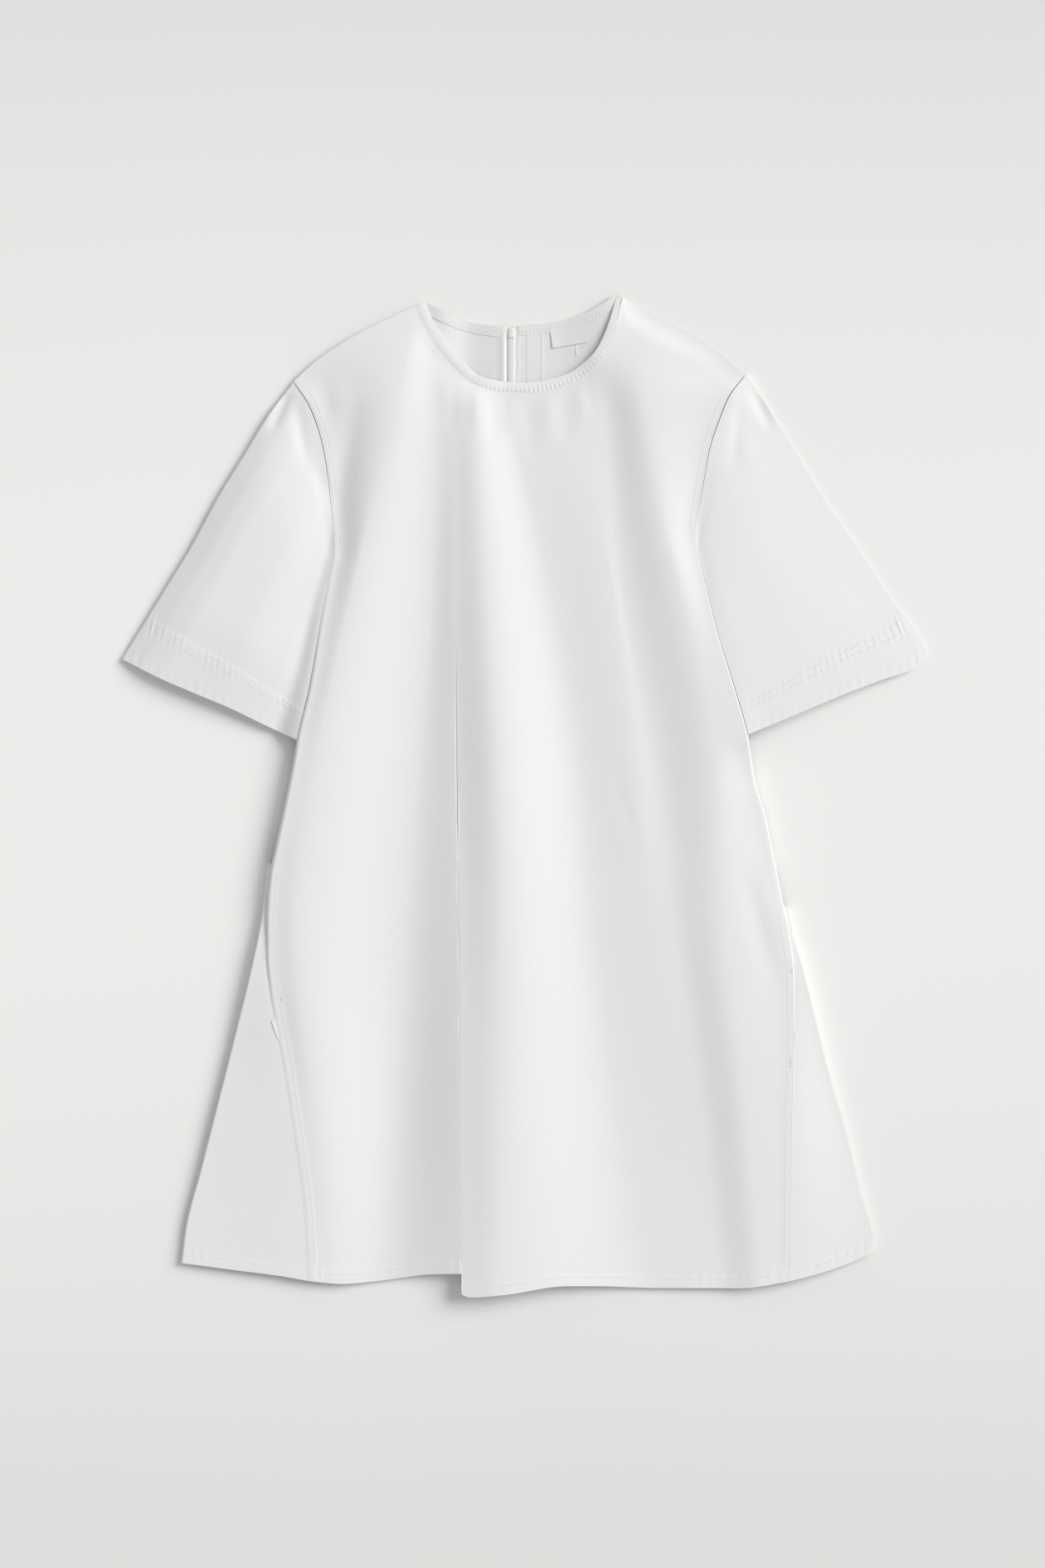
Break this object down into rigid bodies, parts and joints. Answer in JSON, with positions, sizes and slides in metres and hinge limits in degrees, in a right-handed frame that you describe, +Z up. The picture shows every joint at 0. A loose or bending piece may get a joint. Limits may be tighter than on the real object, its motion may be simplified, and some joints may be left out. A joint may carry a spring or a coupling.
{
  "type": "denim mini dress",
  "caption": "White denim A-line mini dress laid flat, with a round bound neck, wide set-in short sleeves, curved side gores, side pockets and a centre-back zip.",
  "frame": {"origin": "centre of the underside of the garment as it lies, on the surface", "axes": "+Y towards the shoulders, +X towards the right-hand sleeve in view, +Z up from the surface"},
  "size_m": [0.7012, 0.8706, 0.024],
  "materials": {
    "denim": "white cotton twill, matt, slightly crumpled",
    "denim_inside": "inner face of white cotton twill",
    "zip_tape": "woven white tape",
    "zip_teeth": "white coil",
    "label_tape": "smooth white woven tape, bare",
    "pocket_cloth": "plain white cotton"
  },
  "bodies": {
    "root": {"front_panel": "denim", "side_gore_left": "denim", "side_gore_right": "denim", "back_left": "denim_inside", "back_right": "denim_inside", "sleeve_left": "denim", "sleeve_right": "denim", "neck_binding_front": "denim", "neck_binding_back_left": "denim_inside", "neck_binding_back_right": "denim_inside", "back_facing_strip": "denim_inside", "zip_tape_left": "zip_tape", "zip_tape_right": "zip_tape", "zip_chain": "zip_teeth", "zip_slider": "zip_teeth", "label": "label_tape", "size_tab": "label_tape", "pocket_bag_left": "pocket_cloth", "pocket_bag_right": "pocket_cloth"}
  },
  "joints": []
}
